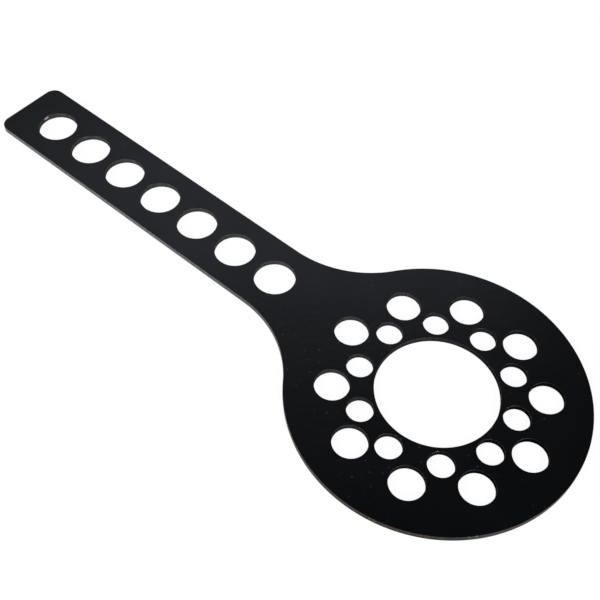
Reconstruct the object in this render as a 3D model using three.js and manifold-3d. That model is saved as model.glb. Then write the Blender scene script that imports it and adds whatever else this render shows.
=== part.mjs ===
// Primary drive lock tool: one flat steel plate, cut through in one piece and coated black.
// Its round head drops over the pins of a clutch hub, which stand up through the pin holes while the
// hub's middle stands clear in the round opening. The long handle is then held, or braced against a
// stop, so that the drive can't turn while its nuts are undone.
//
// Millimetres, +Z up. The plate lies flat on its back face at z = 0 and is drawn round the hub axis,
// with the handle running along -X. It stands in the scene with the middle of its length at x = 0.

import * as THREE from "three";
import { mergeVertices } from "three/addons/utils/BufferGeometryUtils.js";
import Module from "manifold-3d";

// Sheet
const THICKNESS = 4;

// Head: two circles of pin holes round the hub opening
const INNER_CIRCLE = 95; // diameter through the centres of the inner pin holes
const INNER_HOLE = 16; // diameter of each inner pin hole
const OUTER_CIRCLE = 125; // diameter on which the outer pin holes are spread
const OUTER_HOLE = 21; // diameter of each outer pin hole
const HUB_WEB = 2.5; // steel between the hub opening and the inner pin holes
const RIM_WALL = 17; // steel between the outer pin holes and the rim of the head

// The pin holes are not spread evenly. Each list goes round the head from +X towards +Y: the angles are
// in degrees, and a drift is how far a hole lies outside its circle, or inside it where it is negative.
const INNER_ANGLES = [18.5, 54, 90, 126.5, 163, 200, 236.5, 270.5, 308, 344];
const OUTER_ANGLES = [0, 36.5, 72, 108.5, 145, 180, 217.5, 253.5, 290, 325.5];
const OUTER_DRIFTS = [1.2, 0.9, -0.4, -0.4, -0.3, 1.2, -1.1, -0.4, 0.1, 0.8];

// Handle
const HANDLE_WIDTH = 50.8;
const HANDLE_LENGTH = 360; // from the hub axis to the end of the handle
const NECK_FILLET = 70; // radius that runs the rim of the head into the edges of the handle
const END_CORNER = 7.5; // radius of the two corners at the end
const GRIP_HOLE = 26.4; // diameter of each hole in the handle
const GRIP_WEB = 7.3; // steel between two of these holes
const GRIP_END_WALL = 19.2; // steel between the first of them and the end of the handle
const GRIP_HEAD_WALL = 12; // least steel between the last of them and the circle of the rim of the head

// Coat
const COAT_COLOUR = 0x0b0c0f;
const COAT_ROUGHNESS = 0.35;

// Drawing: how far a chord may lie inside its arc, how near two points count as one, and how far a
// cutter sticks out of each face
const CHORD_ERROR = 0.02;
const SAME_POINT = 1e-4;
const OVERRUN = 1;

const HEAD_RADIUS = (OUTER_CIRCLE + OUTER_HOLE) / 2 + RIM_WALL;
const HUB_OPENING = INNER_CIRCLE - INNER_HOLE - 2 * HUB_WEB;
const HALF_WIDTH = HANDLE_WIDTH / 2;
const GRIP_PITCH = GRIP_HOLE + GRIP_WEB;

const wasm = await Module();
wasm.setup();

// Number of chords that follow an arc of this radius and sweep to within the chord error
function chords(radius, sweep) {
  const step = 2 * Math.acos(1 - CHORD_ERROR / radius);
  return Math.ceil(Math.abs(sweep) / step);
}

// Points along an arc, both ends included
function arc(x, y, radius, from, to) {
  const curve = new THREE.EllipseCurve(x, y, radius, radius, from, to, to < from);
  return curve.getPoints(chords(radius, to - from));
}

// The plate's outline, anticlockwise seen from above
function plateOutline() {
  // The fillets touch the head's circle and the handle's edges from outside
  const filletY = HALF_WIDTH + NECK_FILLET;
  const filletX = -Math.sqrt((HEAD_RADIUS + NECK_FILLET) ** 2 - filletY ** 2);
  const touch = Math.atan2(filletY, -filletX);
  const cornerX = END_CORNER - HANDLE_LENGTH;
  const cornerY = HALF_WIDTH - END_CORNER;
  const quarter = Math.PI / 2;

  const points = [
    ...arc(0, 0, HEAD_RADIUS, touch - Math.PI, -quarter),
    ...arc(0, 0, HEAD_RADIUS, -quarter, 0),
    ...arc(0, 0, HEAD_RADIUS, 0, quarter),
    ...arc(0, 0, HEAD_RADIUS, quarter, Math.PI - touch),
    ...arc(filletX, filletY, NECK_FILLET, -touch, -quarter),
    ...arc(cornerX, cornerY, END_CORNER, quarter, Math.PI),
    ...arc(cornerX, -cornerY, END_CORNER, Math.PI, 3 * quarter),
    ...arc(filletX, -filletY, NECK_FILLET, quarter, touch),
  ];
  // Where two arcs touch, both have the same point, and it is kept once
  return points.filter((point, i) => point.distanceTo(points.at(i - 1)) > SAME_POINT);
}

// Centre of a pin hole from its angle in degrees and its distance from the hub axis
function onHead(degrees, radius) {
  const angle = THREE.MathUtils.degToRad(degrees);
  return new THREE.Vector2(radius * Math.cos(angle), radius * Math.sin(angle));
}

// Centres of the holes in the handle, from its end towards the head, as many as its length takes
function gripCentres() {
  const first = GRIP_END_WALL + GRIP_HOLE / 2 - HANDLE_LENGTH;
  const last = -(HEAD_RADIUS + GRIP_HEAD_WALL + GRIP_HOLE / 2);
  const count = Math.floor((last - first) / GRIP_PITCH) + 1;
  return Array.from({ length: count }, (_, i) => new THREE.Vector2(first + i * GRIP_PITCH, 0));
}

// Closed solid from a geometry, with the corners that its faces share merged into one
function toSolid(geometry) {
  geometry.deleteAttribute("normal");
  geometry.deleteAttribute("uv");
  const merged = mergeVertices(geometry, SAME_POINT);
  return new wasm.Manifold(
    new wasm.Mesh({
      numProp: 3,
      vertProperties: new Float32Array(merged.attributes.position.array),
      triVerts: new Uint32Array(merged.index.array),
    }),
  );
}

function toGeometry(solid) {
  const mesh = solid.getMesh();
  const geometry = new THREE.BufferGeometry();
  geometry.setAttribute("position", new THREE.BufferAttribute(mesh.vertProperties, 3));
  geometry.setIndex(new THREE.BufferAttribute(mesh.triVerts, 1));
  geometry.computeVertexNormals();
  return geometry;
}

// Round cutter that goes right through the plate
function drill(centre, diameter) {
  const radius = diameter / 2;
  const sides = 4 * chords(radius, Math.PI / 2);
  const height = THICKNESS + 2 * OVERRUN;
  const cutter = new THREE.CylinderGeometry(radius, radius, height, sides);
  cutter.rotateX(Math.PI / 2);
  cutter.translate(centre.x, centre.y, THICKNESS / 2);
  return toSolid(cutter);
}

function lockPlate() {
  const outline = new THREE.Shape(plateOutline());
  const blank = new THREE.ExtrudeGeometry(outline, { depth: THICKNESS, bevelEnabled: false });
  const inner = INNER_ANGLES.map((angle) => onHead(angle, INNER_CIRCLE / 2));
  const outer = OUTER_ANGLES.map((angle, i) => onHead(angle, OUTER_CIRCLE / 2 + OUTER_DRIFTS[i]));
  const drills = [
    drill(new THREE.Vector2(0, 0), HUB_OPENING),
    ...inner.map((centre) => drill(centre, INNER_HOLE)),
    ...outer.map((centre) => drill(centre, OUTER_HOLE)),
    ...gripCentres().map((centre) => drill(centre, GRIP_HOLE)),
  ];
  return drills.reduce((plate, cutter) => plate.subtract(cutter), toSolid(blank));
}

const coat = new THREE.MeshStandardMaterial({
  color: COAT_COLOUR,
  roughness: COAT_ROUGHNESS,
  metalness: 0,
});

const plate = new THREE.Mesh(toGeometry(lockPlate()), coat);
plate.name = "lock_plate";
plate.position.x = (HANDLE_LENGTH - HEAD_RADIUS) / 2;

const tool = new THREE.Group();
tool.add(plate);

export default tool;
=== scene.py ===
"""Dresses the primary drive lock tool: one flat steel plate, cut to shape and coated black.

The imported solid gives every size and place. They are read off it here, the plate is modelled again with
eased edges, coated, and set on a pale floor in soft light, seen from where the photograph was taken.
"""

import logging
import math
from collections.abc import Iterable
from dataclasses import dataclass
from enum import Enum
from typing import Any

import bmesh
import bpy
from bmesh.types import BMEdge, BMesh, BMVert
from bpy.types import ID, Material, Node, NodeSocket, NodeTree, Object
from mathutils import Euler, Matrix, Quaternion, Vector


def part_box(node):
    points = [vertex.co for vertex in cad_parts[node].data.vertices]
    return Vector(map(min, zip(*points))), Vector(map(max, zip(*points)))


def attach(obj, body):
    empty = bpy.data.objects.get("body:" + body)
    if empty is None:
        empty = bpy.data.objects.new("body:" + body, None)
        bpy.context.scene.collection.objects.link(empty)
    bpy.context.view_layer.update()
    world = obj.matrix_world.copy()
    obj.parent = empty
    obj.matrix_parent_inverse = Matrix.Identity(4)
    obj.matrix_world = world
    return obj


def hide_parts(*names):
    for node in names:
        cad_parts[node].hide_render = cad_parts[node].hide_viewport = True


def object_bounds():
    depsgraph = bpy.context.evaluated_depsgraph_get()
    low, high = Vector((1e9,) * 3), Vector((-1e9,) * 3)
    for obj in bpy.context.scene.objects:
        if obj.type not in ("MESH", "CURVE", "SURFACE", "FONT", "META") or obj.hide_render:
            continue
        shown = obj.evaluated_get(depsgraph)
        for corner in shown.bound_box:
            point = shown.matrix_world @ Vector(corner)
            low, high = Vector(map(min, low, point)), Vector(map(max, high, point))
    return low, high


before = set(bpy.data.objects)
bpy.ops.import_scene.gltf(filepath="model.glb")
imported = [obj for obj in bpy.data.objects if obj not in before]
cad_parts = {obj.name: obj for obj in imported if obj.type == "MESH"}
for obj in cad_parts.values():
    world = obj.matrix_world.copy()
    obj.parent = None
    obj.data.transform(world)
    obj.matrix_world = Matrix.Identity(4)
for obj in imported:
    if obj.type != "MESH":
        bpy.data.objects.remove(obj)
cad_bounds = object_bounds()

MM = 0.001
UP = Vector((0.0, 0.0, 1.0))
ALONG = Vector((1.0, 0.0, 0.0))  # from the handle towards the head
SAME_POINT = 0.001 * MM  # corners nearer than this are one corner
FACES_UP = 0.5  # a face whose normal rises by at least this much faces up
COAT_IOR = 1.5  # refractive index of a polyester coat
WHITE, BLACK = "#ffffff", "#000000"

# A mix node has sockets for every kind of value: these are the numbers of its two colours and of their mix
COLOUR_A, COLOUR_B, MIXED = 6, 7, 2

log = logging.getLogger("lock_tool")


class Surface(Enum):
    """The plate's kinds of surface, by the number of the material that each takes."""

    FACE = 0
    HOLE_WALL = 1
    RIM_WALL = 2


class Steel(Enum):
    """Which side of a wall the steel is on: away from the axis that the wall goes round, or towards it."""

    OUTSIDE = 1
    INSIDE = -1


def linear(colour: str) -> tuple[float, float, float, float]:
    """Turns an sRGB hex colour such as "#0b0c0f" to linear light.

    Args:
        colour: a hash sign and six hex digits.

    Returns:
        Red, green, blue and an alpha of 1.
    """
    shares = [int(colour[i : i + 2], 16) / 255 for i in (1, 3, 5)]
    red, green, blue = (s / 12.92 if s <= 0.04045 else ((s + 0.055) / 1.055) ** 2.4 for s in shares)
    return red, green, blue, 1.0


def add_node(tree: NodeTree, kind: str, inputs: dict[Any, Any] | None = None, **settings: Any) -> Node:
    """Adds a node, sets its properties, and sets or links its inputs.

    Args:
        tree: the node tree that it goes into.
        kind: Blender's name for the node's type.
        inputs: input name or number to a value, or to the output socket that feeds it.
        settings: property name to value.

    Returns:
        The new node.
    """
    node = tree.nodes.new(kind)
    for name, value in settings.items():
        setattr(node, name, value)
    for key, value in (inputs or {}).items():
        if isinstance(value, NodeSocket):
            tree.links.new(value, node.inputs[key])
        else:
            node.inputs[key].default_value = value
    return node


def new_material(name: str) -> tuple[Material, NodeTree]:
    """Makes an empty node material.

    Args:
        name: the material's name.

    Returns:
        The material and its node tree.
    """
    material = bpy.data.materials.new(name)
    material.use_nodes = True
    material.node_tree.nodes.clear()
    return material, material.node_tree


def link_object(name: str, data: ID) -> Object:
    """Puts a new object with this data into the scene, at the origin.

    Args:
        name: the object's name.
        data: its mesh, lamp or camera.

    Returns:
        The object.
    """
    made = bpy.data.objects.new(name, data)
    bpy.context.scene.collection.objects.link(made)
    return made


@dataclass(frozen=True)
class Hole:
    """A round hole through the plate.

    Attributes:
        centre: where its axis meets the back face.
        radius: radius of its wall.
    """

    centre: Vector
    radius: float


@dataclass(frozen=True)
class PlateSizes:
    """The plate's sizes in metres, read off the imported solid.

    Attributes:
        thickness: thickness of the sheet.
        hub: where the hub axis meets the back face.
        head_radius: radius of the head's rim.
        end: x of the handle's end.
        half_width: half the handle's width.
        end_corner: radius of the two corners at the end.
        neck_start: x where the handle's straight edges run into the neck fillets.
        neck_fillet: radius of the neck fillets.
        holes: every hole, the largest first.
    """

    thickness: float
    hub: Vector
    head_radius: float
    end: float
    half_width: float
    end_corner: float
    neck_start: float
    neck_fillet: float
    holes: tuple[Hole, ...]

    @classmethod
    def read(cls, node: str) -> "PlateSizes":
        """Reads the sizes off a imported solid.

        Args:
            node: the solid's name.

        Returns:
            The sizes.
        """
        low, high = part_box(node)
        outline, *rims = front_face_rims(node)
        radius = (high.y - low.y) / 2
        hub = Vector((high.x - radius, (high.y + low.y) / 2, low.z))
        past_neck = hub.x - 2 * radius
        half_width = max(p.y for p in outline if p.x < past_neck)
        straight = [p.x for p in outline if abs(p.y - half_width) < SAME_POINT]
        neck_start = max(straight)
        # The fillet's centre is a fillet's radius outside both the handle's edge and the head's rim
        reach = hub.x - neck_start
        fillet = (reach**2 + half_width**2 - radius**2) / (2 * (radius - half_width))
        return cls(
            thickness=high.z - low.z,
            hub=hub,
            head_radius=radius,
            end=low.x,
            half_width=half_width,
            end_corner=min(straight) - low.x,
            neck_start=neck_start,
            neck_fillet=fillet,
            holes=tuple(round_hole(rim, low.z) for rim in rims),
        )

    def end_hole(self) -> Hole:
        """Finds the grip hole nearest the handle's end."""
        return min(self.holes, key=lambda hole: hole.centre.x)


def front_face_rims(node: str) -> list[list[Vector]]:
    """Finds the closed edges of a solid's front face.

    Args:
        node: the solid's name.

    Returns:
        The corners of each closed edge, the widest edge first.
    """
    copy = bmesh.new()
    copy.from_mesh(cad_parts[node].data)
    bmesh.ops.remove_doubles(copy, verts=copy.verts, dist=SAME_POINT)
    copy.normal_update()
    others = [face for face in copy.faces if face.normal.dot(UP) < FACES_UP]
    bmesh.ops.delete(copy, geom=others, context="FACES")
    rims, seen = [], set()
    for start in copy.verts:
        if start in seen or not start.is_boundary:
            continue
        rim, front = set(), [start]
        while front:
            vert = front.pop()
            rim.add(vert)
            ends = [edge.other_vert(vert) for edge in vert.link_edges if edge.is_boundary]
            front.extend(end for end in ends if end not in rim)
        seen |= rim
        rims.append([vert.co.copy() for vert in rim])
    copy.free()
    return sorted(rims, key=lambda rim: min(p.x for p in rim) - max(p.x for p in rim))


def round_hole(rim: list[Vector], floor: float) -> Hole:
    """Works out a hole's axis and radius from the corners of its rim.

    Args:
        rim: the corners.
        floor: height of the back face.

    Returns:
        The hole.
    """
    xs = [p.x for p in rim]
    ys = [p.y for p in rim]
    centre = Vector(((min(xs) + max(xs)) / 2, (min(ys) + max(ys)) / 2, floor))
    return Hole(centre, (max(xs) - min(xs)) / 2)


@dataclass(frozen=True)
class HookMark:
    """The bare mark of the hook that the plate hung on in the coating oven, on the wall of a grip hole.

    Attributes:
        hole: the grip hole.
        thickness: height of its wall.
        side: direction of the mark from the hole's axis, in degrees from +X towards +Y.
        rise: height of its middle, as a share of the wall's.
        inner: distance within which the steel is bare.
        outer: distance at which the coat is whole again.
        flat: how high it is for its width.
        ragged: how far the coat's edge wanders.
        colour: the dull, faintly pink oxide on the steel.
    """

    hole: Hole
    thickness: float
    side: float = 177.0
    rise: float = 0.74
    inner: float = 1.8 * MM
    outer: float = 2.8 * MM
    flat: float = 0.5
    ragged: float = 1.2 * MM
    colour: str = "#cbb9af"

    def centre(self) -> Vector:
        """Finds the middle of the mark.

        Returns:
            Its place on the wall of the hole.
        """
        side = math.radians(self.side)
        out = Vector((math.cos(side), math.sin(side), 0.0))
        return self.hole.centre + out * self.hole.radius + UP * (self.rise * self.thickness)

    def mask(self, tree: NodeTree, place: NodeSocket) -> NodeSocket:
        """Draws the mark in a material.

        Args:
            tree: the material's node tree.
            place: the surface's place in metres.

        Returns:
            1 on bare steel, 0 where the coat is whole.
        """
        offset = add_node(tree, "ShaderNodeVectorMath", {0: place, 1: self.centre()}, operation="SUBTRACT")
        squeezed = add_node(
            tree,
            "ShaderNodeVectorMath",
            {0: offset.outputs["Vector"], 1: (1.0, 1.0, 1 / self.flat)},
            operation="MULTIPLY",
        )
        away = add_node(tree, "ShaderNodeVectorMath", {0: squeezed.outputs["Vector"]}, operation="LENGTH")
        wander = add_node(
            tree, "ShaderNodeTexNoise", {"Vector": place, "Scale": 1 / self.ragged, "Detail": 2.0}
        )
        edge = add_node(
            tree,
            "ShaderNodeMath",
            {0: wander.outputs["Fac"], 1: self.ragged, 2: away.outputs["Value"]},
            operation="MULTIPLY_ADD",
        )
        bare = add_node(
            tree,
            "ShaderNodeMapRange",
            {"Value": edge.outputs[0], "From Min": self.outer, "From Max": self.inner},
            interpolation_type="SMOOTHSTEP",
        )
        return bare.outputs["Result"]


@dataclass(frozen=True)
class FaceCoat:
    """Black polyester powder coat, sprayed on sheet steel and baked: smooth, half-gloss and very dark.

    Up close it has the shallow waves of orange peel, soft patches where handling has dulled the gloss, and
    specks of dust baked in. On the eased edges the film is thin and is worn to the steel here and there.

    Attributes:
        mark: the bare mark of the oven hook.
        name: the material's name.
        deep: the coat's colour.
        dust: the specks.
        steel: bare steel on the worn edges.
        gloss: roughness where the coat shines most, and where it shines least.
        bare_dulling: how much rougher the bare mark is than the coat.
        peel: pitch of the orange peel.
        peel_height: height of its waves.
        smear: size of the dulled patches.
        smear_range: noise at which the coat shines most, and at which it shines least.
        speck: spacing of the places where a speck may lie.
        speck_radius: radius of the largest specks.
        speck_range: chance at which a speck starts to show, and at which it is largest.
        drift: size of the drifts that the specks come in.
        wear: spacing of the worn places along the edges.
        chip: size of the single chips.
        worn_range: noise at which the coat starts to wear through, and at which the steel is bare.
    """

    mark: HookMark
    name: str = "black_powder_coat"
    deep: str = "#030407"
    dust: str = "#3c3e43"
    steel: str = "#8d877f"
    gloss: tuple[float, float] = (0.28, 0.32)
    bare_dulling: float = 0.35
    peel: float = 5 * MM
    peel_height: float = 0.05 * MM
    smear: float = 38 * MM
    smear_range: tuple[float, float] = (0.2, 0.8)
    speck: float = 6 * MM
    speck_radius: float = 0.65 * MM
    speck_range: tuple[float, float] = (0.35, 0.6)
    drift: float = 55 * MM
    wear: float = 14 * MM
    chip: float = 1.0 * MM
    worn_range: tuple[float, float] = (0.55, 0.63)

    def material(self) -> Material:
        """Makes the material.

        Returns:
            The material.
        """
        # The baked film levels out, so it mirrors softly and evenly, with faint waves and a deep black
        material, tree = new_material(self.name)
        place = add_node(tree, "ShaderNodeTexCoord").outputs["Object"]
        eased = add_node(tree, "ShaderNodeAttribute", attribute_name="eased").outputs["Fac"]
        worn = self.worn_edges(tree, place, eased)
        hook = self.mark.mask(tree, place)
        bare = add_node(tree, "ShaderNodeMath", {0: hook, 1: eased}, operation="MULTIPLY").outputs[0]
        colour = linear(self.deep)
        for share, over in (
            (self.specks(tree, place), self.dust),
            (worn, self.steel),
            (bare, self.mark.colour),
        ):
            layer = add_node(
                tree,
                "ShaderNodeMix",
                {"Factor": share, COLOUR_A: colour, COLOUR_B: linear(over)},
                data_type="RGBA",
            )
            colour = layer.outputs[MIXED]
        dull = add_node(
            tree,
            "ShaderNodeMath",
            {0: bare, 1: self.bare_dulling, 2: self.smears(tree, place)},
            operation="MULTIPLY_ADD",
        )
        # The waves are drawn a little coarser than the real ones, so that they show
        peel = add_node(
            tree, "ShaderNodeTexNoise", {"Vector": place, "Scale": 1 / self.peel, "Detail": 2.0}
        )
        waves = add_node(
            tree,
            "ShaderNodeBump",
            {"Height": peel.outputs["Fac"], "Strength": 1.0, "Distance": self.peel_height},
        )
        shader = add_node(
            tree,
            "ShaderNodeBsdfPrincipled",
            {
                "Base Color": colour,
                "Metallic": worn,
                "Roughness": dull.outputs[0],
                "IOR": COAT_IOR,
                "Normal": waves.outputs["Normal"],
            },
        )
        add_node(tree, "ShaderNodeOutputMaterial", {"Surface": shader.outputs["BSDF"]})
        return material

    def smears(self, tree: NodeTree, place: NodeSocket) -> NodeSocket:
        """Dulls the gloss in soft patches.

        Args:
            tree: the material's node tree.
            place: the surface's place in metres.

        Returns:
            The coat's roughness.
        """
        noise = add_node(
            tree, "ShaderNodeTexNoise", {"Vector": place, "Scale": 1 / self.smear, "Detail": 1.5}
        )
        low, high = self.smear_range
        most, least = self.gloss
        rough = add_node(
            tree,
            "ShaderNodeMapRange",
            {
                "Value": noise.outputs["Fac"],
                "From Min": low,
                "From Max": high,
                "To Min": most,
                "To Max": least,
            },
            interpolation_type="SMOOTHSTEP",
        )
        return rough.outputs["Result"]

    def specks(self, tree: NodeTree, place: NodeSocket) -> NodeSocket:
        """Scatters specks of dust of different sizes, which come in loose drifts.

        Args:
            tree: the material's node tree.
            place: the surface's place in metres.

        Returns:
            1 in the middle of a speck, 0 off it.
        """
        # The specks are drawn larger than real ones, so that they show
        cell = add_node(
            tree,
            "ShaderNodeTexVoronoi",
            {"Vector": place, "Scale": 1 / self.speck},
            voronoi_dimensions="2D",
        )
        chance = add_node(tree, "ShaderNodeSeparateColor", {"Color": cell.outputs["Color"]})
        drift = add_node(
            tree, "ShaderNodeTexNoise", {"Vector": place, "Scale": 1 / self.drift, "Detail": 1.0}
        )
        dense = add_node(
            tree,
            "ShaderNodeMath",
            {0: chance.outputs["Red"], 1: drift.outputs["Fac"]},
            operation="MULTIPLY",
        )
        low, high = self.speck_range
        radius = add_node(
            tree,
            "ShaderNodeMapRange",
            {
                "Value": dense.outputs[0],
                "From Min": low,
                "From Max": high,
                "To Max": self.speck_radius / self.speck,
            },
        )
        speck = add_node(
            tree,
            "ShaderNodeMapRange",
            {"Value": cell.outputs["Distance"], "From Min": radius.outputs["Result"], "From Max": 0.0},
        )
        return speck.outputs["Result"]

    def worn_edges(self, tree: NodeTree, place: NodeSocket, eased: NodeSocket) -> NodeSocket:
        """Wears the eased edges through to the steel, in small chips that come in groups.

        Args:
            tree: the material's node tree.
            place: the surface's place in metres.
            eased: 1 on the eased edges, 0 off them.

        Returns:
            1 on bare steel, 0 where the coat is whole.
        """
        low, high = self.worn_range
        worn = eased
        for size in (self.wear, self.chip):
            noise = add_node(
                tree, "ShaderNodeTexNoise", {"Vector": place, "Scale": 1 / size, "Detail": 2.0}
            )
            here = add_node(
                tree,
                "ShaderNodeMapRange",
                {"Value": noise.outputs["Fac"], "From Min": low, "From Max": high},
            )
            both = {0: worn, 1: here.outputs["Result"]}
            worn = add_node(tree, "ShaderNodeMath", both, operation="MULTIPLY").outputs[0]
        return worn


@dataclass(frozen=True)
class WallCoat:
    """The same powder coat on the walls of the holes: a thin, dull film over the cut's upright drag lines.

    At the head the wall is painted near black, as shade, and a little lighter towards the top of a wall,
    where the
    finer cut would shine: a painted highlight. Towards the handle it is painted grey, a painted reflection
    of the pale floor.

    Attributes:
        mark: the bare mark of the oven hook.
        sizes: the plate's sizes.
        name: the material's name.
        head: the wall's colours at the head, in the drag lines and between them, where scale shows through;
            both near black, as painted shade.
        handle: the same two on the handle, grey as a painted reflection of the pale floor.
        fade_start: where painted shade starts turning to painted reflection, past the hub axis, as a share
            of the head's radius.
        fade_end: where the painted reflection is full, as a share of the way from the neck to the handle's
            end.
        top_lift: how much of the noise's range the head's colours gain at the top of a wall, as a painted
            highlight.
        head_range: noise at which the scale starts to show at the head, and at which it shows most.
        drag_range: noise in the drag lines, and between them.
        dullness: roughness in the drag lines, and between them.
        sheen: Blender's specular level, which is low because the cut's roughness scatters the gloss.
        drag: pitch of the drag lines.
        drag_depth: their depth.
        height: how far a drag line runs up the wall before it wanders off.
    """

    mark: HookMark
    sizes: PlateSizes
    name: str = "black_powder_coat_in_holes"
    head: tuple[str, str] = ("#030303", "#0e0c0a")
    handle: tuple[str, str] = ("#3b3b3c", "#535355")
    fade_start: float = 0.75
    fade_end: float = 0.0
    top_lift: float = 0.35
    head_range: tuple[float, float] = (0.55, 0.95)
    drag_range: tuple[float, float] = (0.3, 0.7)
    dullness: tuple[float, float] = (0.38, 0.52)
    sheen: float = 0.0
    drag: float = 0.8 * MM
    drag_depth: float = 0.02 * MM
    height: float = 9 * MM

    def material(self) -> Material:
        """Makes the material.

        Returns:
            The material.
        """
        # The cut's lines break the gloss up, so the wall looks matt and streaked, and scale tints it; its
        # tone is painted shade at the head, a painted reflection on the handle and a painted highlight at
        # the top
        material, tree = new_material(self.name)
        place = add_node(tree, "ShaderNodeTexCoord").outputs["Object"]
        # The lines are drawn a little coarser than the real ones, so that they show
        upright = add_node(
            tree, "ShaderNodeMapping", {"Vector": place, "Scale": (1.0, 1.0, self.drag / self.height)}
        )
        noise = {"Vector": upright.outputs["Vector"], "Scale": 1 / self.drag, "Detail": 2.0}
        lines = add_node(tree, "ShaderNodeTexNoise", noise).outputs["Fac"]
        colour = add_node(
            tree,
            "ShaderNodeMix",
            {
                "Factor": self.mark.mask(tree, place),
                COLOUR_A: self.film(tree, place, lines),
                COLOUR_B: linear(self.mark.colour),
            },
            data_type="RGBA",
        )
        low, high = self.drag_range
        smooth, rough = self.dullness
        dull = add_node(
            tree,
            "ShaderNodeMapRange",
            {"Value": lines, "From Min": low, "From Max": high, "To Min": smooth, "To Max": rough},
        )
        grooves = add_node(
            tree, "ShaderNodeBump", {"Height": lines, "Strength": 1.0, "Distance": self.drag_depth}
        )
        shader = add_node(
            tree,
            "ShaderNodeBsdfPrincipled",
            {
                "Base Color": colour.outputs[MIXED],
                "Roughness": dull.outputs["Result"],
                "IOR": COAT_IOR,
                "Specular IOR Level": self.sheen,
                "Normal": grooves.outputs["Normal"],
            },
        )
        add_node(tree, "ShaderNodeOutputMaterial", {"Surface": shader.outputs["BSDF"]})
        return material

    def film(self, tree: NodeTree, place: NodeSocket, lines: NodeSocket) -> NodeSocket:
        """Colours the wall: painted shade and top highlight at the head, painted reflection on the handle.

        Args:
            tree: the material's node tree.
            place: the surface's place in metres.
            lines: the noise of the drag lines.

        Returns:
            The film's colour.
        """
        along = add_node(tree, "ShaderNodeSeparateXYZ", {"Vector": place}).outputs
        # At the head the colours lighten towards the top of a wall: a painted highlight
        upper = add_node(
            tree,
            "ShaderNodeMath",
            {0: along["Z"], 1: self.top_lift / self.sizes.thickness, 2: lines},
            operation="MULTIPLY_ADD",
        )
        streaks = []
        for value, (low, high), (deep, thin) in (
            (upper.outputs[0], self.head_range, self.head),
            (lines, self.drag_range, self.handle),
        ):
            scale = add_node(
                tree, "ShaderNodeMapRange", {"Value": value, "From Min": low, "From Max": high}
            )
            tone = add_node(
                tree,
                "ShaderNodeMix",
                {"Factor": scale.outputs["Result"], COLOUR_A: linear(deep), COLOUR_B: linear(thin)},
                data_type="RGBA",
            )
            streaks.append(tone.outputs[MIXED])
        # Along the plate the wall turns from painted shade at the head to a painted reflection of the pale
        # floor on the handle
        neck, end = self.sizes.neck_start, self.sizes.end
        start = self.sizes.hub.x + self.fade_start * self.sizes.head_radius
        painted_light_share = add_node(
            tree,
            "ShaderNodeMapRange",
            {"Value": along["X"], "From Min": start, "From Max": neck + self.fade_end * (end - neck)},
            interpolation_type="SMOOTHSTEP",
        )
        faded = add_node(
            tree,
            "ShaderNodeMix",
            {"Factor": painted_light_share.outputs["Result"], COLOUR_A: streaks[0], COLOUR_B: streaks[1]},
            data_type="RGBA",
        )
        return faded.outputs[MIXED]


@dataclass(frozen=True)
class RimCoat(WallCoat):
    """The coat on the wall round the plate: browner at the head, with a painted highlight at the top, and a
    lighter grey on the handle, a painted reflection of the pale floor.
    """

    name: str = "black_powder_coat_on_rim"
    # The light brown at the top of the wall is a painted highlight, and the handle's grey a painted
    # reflection
    head: tuple[str, str] = ("#040404", "#534a3f")
    handle: tuple[str, str] = ("#575859", "#7c7e80")
    fade_start: float = 0.5
    fade_end: float = 0.5
    sheen: float = 0.05


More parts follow.
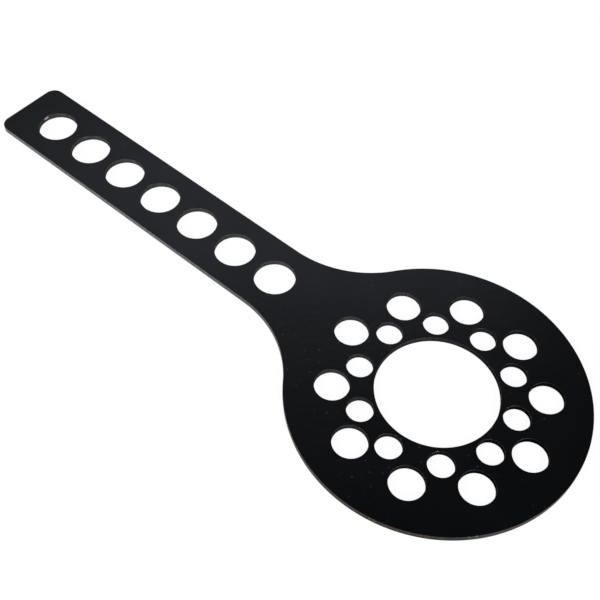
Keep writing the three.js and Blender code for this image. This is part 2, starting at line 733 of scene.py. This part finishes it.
@dataclass
class LockPlate:
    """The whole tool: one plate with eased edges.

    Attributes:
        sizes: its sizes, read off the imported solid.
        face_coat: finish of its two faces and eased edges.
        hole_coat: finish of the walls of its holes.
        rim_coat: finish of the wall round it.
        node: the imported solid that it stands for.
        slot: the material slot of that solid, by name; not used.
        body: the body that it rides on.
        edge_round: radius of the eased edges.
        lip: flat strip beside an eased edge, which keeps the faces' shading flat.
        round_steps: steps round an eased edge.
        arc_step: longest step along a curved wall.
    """

    sizes: PlateSizes
    face_coat: FaceCoat
    hole_coat: WallCoat
    rim_coat: RimCoat
    node: str = "lock_plate"
    slot: str = "black_coat"
    body: str = "root"
    edge_round: float = 0.2 * MM
    lip: float = 0.2 * MM
    round_steps: int = 4
    arc_step: float = 0.8 * MM

    def build(self) -> Object:
        """Models the plate.

        Returns:
            Its object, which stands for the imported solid.
        """
        mesh = bpy.data.meshes.new("coated_plate")
        work = bmesh.new()
        for wall in (self.rim_wall(), *map(self.hole_wall, self.sizes.holes)):
            wall.to_mesh(mesh)
            wall.free()
            work.from_mesh(mesh)
        self.fill_faces(work)
        bmesh.ops.recalc_face_normals(work, faces=work.faces)
        self.mark_surfaces(work)
        work.to_mesh(mesh)
        work.free()
        plate = link_object("coated_plate", mesh)
        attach(plate, self.body)
        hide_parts(self.node)
        return plate

    def dress(self, plate: Object) -> None:
        """Coats the faces, the eased edges and the walls.

        Args:
            plate: the plate's object.
        """
        coats = {
            Surface.FACE: self.face_coat,
            Surface.HOLE_WALL: self.hole_coat,
            Surface.RIM_WALL: self.rim_coat,
        }
        for surface in Surface:
            plate.data.materials.append(coats[surface].material())

    def section(self, work: BMesh, foot: Vector, inward: Vector) -> list[BMEdge]:
        """Draws the section of a wall: its two lips, its eased edges and its straight height.

        Args:
            work: the empty mesh that it is drawn in.
            foot: where the wall meets the back face.
            inward: direction from the wall into the steel.

        Returns:
            The section's edges.
        """
        reach = inward * (self.edge_round + self.lip)
        rise = UP * self.sizes.thickness
        corners = [foot + reach + rise, foot + rise, foot, foot + reach]
        verts = [work.verts.new(corner) for corner in corners]
        for pair in zip(verts, verts[1:]):
            work.edges.new(pair)
        bmesh.ops.bevel(
            work,
            geom=verts[1:3],
            offset=self.edge_round,
            offset_type="OFFSET",
            affect="VERTICES",
            segments=self.round_steps,
            profile=0.5,
            material=-1,
        )
        return list(work.edges)

    def turn(
        self, work: BMesh, section: Iterable[BMEdge], axis: Vector, angle: float, radius: float
    ) -> list[BMEdge]:
        """Carries a section round an axis that stands upright.

        Args:
            work: the mesh that it is in.
            section: the section's edges.
            axis: a point on the axis.
            angle: the turn in radians, anticlockwise seen from above.
            radius: radius of the wall, which sets how many steps the turn takes.

        Returns:
            The section's edges at the end of the turn.
        """
        made = bmesh.ops.spin(
            work,
            geom=list(section),
            cent=axis,
            axis=UP,
            angle=angle,
            steps=math.ceil(abs(angle) * radius / self.arc_step),
            use_merge=abs(angle) >= math.tau,
        )
        return [part for part in made["geom_last"] if isinstance(part, BMEdge)]

    def carry(self, work: BMesh, section: Iterable[BMEdge], way: Vector) -> list[BMEdge]:
        """Carries a section straight along.

        Args:
            work: the mesh that it is in.
            section: the section's edges.
            way: how far, and which way.

        Returns:
            The section's edges at the far end.
        """
        made = bmesh.ops.extrude_edge_only(work, edges=list(section))["geom"]
        verts = {part for part in made if isinstance(part, BMVert)}
        bmesh.ops.translate(work, verts=list(verts), vec=way)
        return [part for part in made if isinstance(part, BMEdge) and verts.issuperset(part.verts)]

    def hole_wall(self, hole: Hole) -> BMesh:
        """Models the wall of a hole, with the eased edges at both faces.

        Args:
            hole: the hole.

        Returns:
            The wall.
        """
        work = bmesh.new()
        section = self.section(work, hole.centre + ALONG * hole.radius, ALONG * Steel.OUTSIDE.value)
        self.turn(work, section, hole.centre, math.tau, hole.radius)
        for face in work.faces:
            face.material_index = Surface.HOLE_WALL.value
        return work

    def rim_wall(self) -> BMesh:
        """Models the wall round the plate: one half, from the head to the handle's end, then its mirror.

        Returns:
            The wall.
        """
        s = self.sizes
        quarter = math.pi / 2
        fillet = Vector((s.neck_start, s.half_width + s.neck_fillet, s.hub.z))
        touch = math.atan2(fillet.y, s.hub.x - fillet.x)
        corner = Vector((s.end + s.end_corner, s.half_width - s.end_corner, s.hub.z))
        work = bmesh.new()
        section = self.section(work, s.hub + ALONG * s.head_radius, ALONG * Steel.INSIDE.value)
        section = self.turn(work, section, s.hub, quarter, s.head_radius)
        section = self.turn(work, section, s.hub, quarter - touch, s.head_radius)
        section = self.turn(work, section, fillet, touch - quarter, s.neck_fillet)
        section = self.carry(work, section, Vector((corner.x - fillet.x, 0.0, 0.0)))
        section = self.turn(work, section, corner, quarter, s.end_corner)
        self.carry(work, section, Vector((0.0, -corner.y, 0.0)))
        half = [*work.verts, *work.edges, *work.faces]
        bmesh.ops.mirror(work, geom=half, matrix=Matrix.Identity(4), merge_dist=SAME_POINT, axis="Y")
        bmesh.ops.remove_doubles(work, verts=work.verts, dist=SAME_POINT)
        for face in work.faces:
            face.material_index = Surface.RIM_WALL.value
        return work

    def fill_faces(self, work: BMesh) -> None:
        """Closes the front and the back face between the rim and the holes.

        Args:
            work: the mesh with all its walls.
        """
        middle = self.sizes.hub.z + self.sizes.thickness / 2
        open_edges = [edge for edge in work.edges if edge.is_boundary]
        front = [edge for edge in open_edges if edge.verts[0].co.z > middle]
        back = [edge for edge in open_edges if edge.verts[0].co.z < middle]
        bmesh.ops.triangle_fill(work, edges=front, use_beauty=True, normal=UP)
        bmesh.ops.triangle_fill(work, edges=back, use_beauty=True, normal=-UP)

    def mark_surfaces(self, work: BMesh) -> None:
        """Gives the faces and eased edges their own finish, marks the eased edges, and shades all smooth.

        Args:
            work: the closed mesh.
        """
        eased = work.verts.layers.float.new("eased")
        middle = self.sizes.hub.z + self.sizes.thickness / 2
        straight = self.sizes.thickness / 2 - self.edge_round
        for vert in work.verts:
            rise = abs(vert.co.z - middle) - straight
            vert[eased] = 1.0 if SAME_POINT < rise < self.edge_round - SAME_POINT else 0.0
        for face in work.faces:
            face.smooth = True
            upright = all(abs(vert.co.z - middle) < straight + SAME_POINT for vert in face.verts)
            if not upright:
                face.material_index = Surface.FACE.value


@dataclass(frozen=True)
class SoftLight:
    """A soft light that faces the middle of the plate.

    Attributes:
        name: the lamp's name.
        bearing: direction from the plate, in degrees from +X towards +Y.
        height: elevation above the floor, in degrees.
        distance: distance from the middle of the plate.
        size: its width and height.
        level: how much of a plain white it lights the floor to by itself.
        colour: its colour.
        mirrored: whether gloss mirrors it.
    """

    name: str
    bearing: float
    height: float
    distance: float
    size: tuple[float, float]
    level: float
    colour: str = WHITE
    mirrored: bool = True

    def build(self, middle: Vector) -> Object:
        """Sets the light up.

        Args:
            middle: the middle of the plate.

        Returns:
            The lamp.
        """
        lamp = bpy.data.lights.new(self.name, "AREA")
        lamp.shape = "RECTANGLE"
        lamp.size, lamp.size_y = self.size
        # A flat lamp sends 1 / pi of its power ahead, and a white floor sends 1 / pi of its light back
        rise = math.sin(math.radians(self.height))
        lamp.energy = self.level * math.pi**2 * self.distance**2 / rise
        lamp.color = linear(self.colour)[:3]
        lean = Euler((0.0, -math.radians(self.height), math.radians(self.bearing)))
        way = lean.to_matrix() @ ALONG
        made = link_object(self.name, lamp)
        made.location = middle + way * self.distance
        made.visible_glossy = self.mirrored
        made.rotation_mode = "QUATERNION"
        made.rotation_quaternion = way.to_track_quat("Z", "Y")
        return made


@dataclass(frozen=True)
class Studio:
    """The pale floor, the soft light and the camera of the photograph.

    Attributes:
        eye: where the camera stands.
        aim: the point on the floor that it looks at.
        roll: how far it leans to its right, in degrees.
        lens: focal length on a sensor 36 mm wide.
        floor_size: side of the floor.
        floor_gap: how far the floor lies under the plate.
        floor_reach: how far from the plate the floor takes its shadow in full, and from where it is plain.
        floor_colour: the floor's colour near the plate.
        floor_glow: what the floor adds for the eye and for gloss, so that it shows white, near and far.
        backdrop: level of the backdrop at the floor, and overhead.
        backdrop_rise: sine of the elevation from which it is as dark as overhead.
        lights: the soft lights.
    """

    eye: Vector = Vector((253.5, -284.2, 488.5)) * MM
    aim: Vector = Vector((31.2, -0.8, 0.0)) * MM
    roll: float = 2.66
    lens: float = 58.57
    floor_size: float = 400.0
    floor_gap: float = 0.05 * MM
    floor_reach: tuple[float, float] = (0.6, 2.0)
    floor_colour: str = "#505050"
    floor_glow: tuple[float, float] = (0.94, 0.997)
    backdrop: tuple[float, float] = (0.997, 0.01)
    backdrop_rise: float = 0.5
    lights: tuple[SoftLight, ...] = (
        SoftLight("key", bearing=-8, height=39, distance=4.0, size=(3.2, 3.2), level=0.48),
        SoftLight(
            "fill",
            bearing=-112,
            height=30,
            distance=4.0,
            size=(3.2, 3.2),
            level=0.44,
            mirrored=False,
        ),
        SoftLight(
            "window",
            bearing=130.8,
            height=48.2,
            distance=12.0,
            size=(6.9, 1.4),
            level=0.0262,
            colour="#eff2ff",
        ),
    )

    def build(self, low: Vector, high: Vector) -> None:
        """Sets the studio up round the plate.

        Args:
            low: the plate's lowest corner.
            high: its highest corner.
        """
        middle = (low + high) / 2
        self.camera()
        self.floor(low.z)
        self.world()
        for light in self.lights:
            light.build(middle)

    def camera(self) -> None:
        """Stands the camera where the photograph was taken."""
        data = bpy.data.cameras.new("photo_camera")
        data.lens = self.lens
        made = link_object("photo_camera", data)
        made.location = self.eye
        made.rotation_mode = "QUATERNION"
        level = (self.aim - self.eye).to_track_quat("-Z", "Y")
        made.rotation_quaternion = level @ Quaternion(UP, math.radians(self.roll))
        bpy.context.scene.camera = made

    def floor(self, height: float) -> None:
        """Lays the floor.

        Args:
            height: height of the plate's back face.
        """
        work = bmesh.new()
        lay = Matrix.Translation(UP * (height - self.floor_gap))
        bmesh.ops.create_grid(work, x_segments=1, y_segments=1, size=self.floor_size / 2, matrix=lay)
        mesh = bpy.data.meshes.new("floor")
        work.to_mesh(mesh)
        work.free()
        mesh.materials.append(self.floor_material())
        link_object("floor", mesh)

    def floor_material(self) -> Material:
        """Makes the floor's paper: matt, with a soft shadow near the plate, and white to the eye.

        Returns:
            The material.
        """
        material, tree = new_material("pale_floor")
        path = add_node(tree, "ShaderNodeLightPath").outputs
        seen = path["Is Camera Ray"]
        for ray in ("Is Glossy Ray", "Is Transmission Ray"):
            seen = add_node(tree, "ShaderNodeMath", {0: seen, 1: path[ray]}, operation="MAXIMUM").outputs[0]
        place = add_node(tree, "ShaderNodeTexCoord").outputs["Object"]
        away = add_node(tree, "ShaderNodeVectorMath", {0: place}, operation="LENGTH")
        near, plain = self.floor_reach
        far = add_node(
            tree,
            "ShaderNodeMapRange",
            {"Value": away.outputs["Value"], "From Min": near, "From Max": plain},
            interpolation_type="SMOOTHSTEP",
        )
        near_glow, far_glow = self.floor_glow
        level = add_node(
            tree,
            "ShaderNodeMapRange",
            {"Value": far.outputs["Result"], "To Min": near_glow, "To Max": far_glow},
        )
        glow = add_node(tree, "ShaderNodeMath", {0: seen, 1: level.outputs["Result"]}, operation="MULTIPLY")
        colour = add_node(
            tree,
            "ShaderNodeMix",
            {
                "Factor": far.outputs["Result"],
                COLOUR_A: linear(self.floor_colour),
                COLOUR_B: linear(BLACK),
            },
            data_type="RGBA",
        )
        shader = add_node(
            tree,
            "ShaderNodeBsdfPrincipled",
            {
                "Base Color": colour.outputs[MIXED],
                "Roughness": 1.0,
                "Specular IOR Level": 0.0,
                "Emission Color": linear(WHITE),
                "Emission Strength": glow.outputs[0],
            },
        )
        add_node(tree, "ShaderNodeOutputMaterial", {"Surface": shader.outputs["BSDF"]})
        return material

    def world(self) -> None:
        """Hangs a pale backdrop all round, which darkens towards the ceiling."""
        world = bpy.data.worlds.new("studio")
        world.use_nodes = True
        bpy.context.scene.world = world
        tree = world.node_tree
        tree.nodes.clear()
        way = add_node(tree, "ShaderNodeTexCoord").outputs["Generated"]
        rise = add_node(tree, "ShaderNodeSeparateXYZ", {"Vector": way}).outputs["Z"]
        pale, dark = self.backdrop
        level = add_node(
            tree,
            "ShaderNodeMapRange",
            {
                "Value": rise,
                "From Min": 0.0,
                "From Max": self.backdrop_rise,
                "To Min": pale,
                "To Max": dark,
            },
            interpolation_type="SMOOTHSTEP",
        )
        back = add_node(
            tree, "ShaderNodeBackground", {"Color": linear(WHITE), "Strength": level.outputs["Result"]}
        )
        add_node(tree, "ShaderNodeOutputWorld", {"Surface": back.outputs["Background"]})
        bpy.context.scene.view_settings.view_transform = "Standard"


def main() -> None:
    """Builds the plate, then the studio round it."""
    logging.basicConfig(level=logging.INFO, format="%(name)s: %(message)s")
    sizes = PlateSizes.read(LockPlate.node)
    mark = HookMark(sizes.end_hole(), sizes.thickness)
    tool = LockPlate(sizes, FaceCoat(mark), WallCoat(mark, sizes), RimCoat(mark, sizes))
    plate = tool.build()
    tool.dress(plate)
    log.info("%s: %d holes, %d faces", plate.name, len(sizes.holes), len(plate.data.polygons))
    Studio().build(*cad_bounds)


if __name__ == "__main__":
    main()
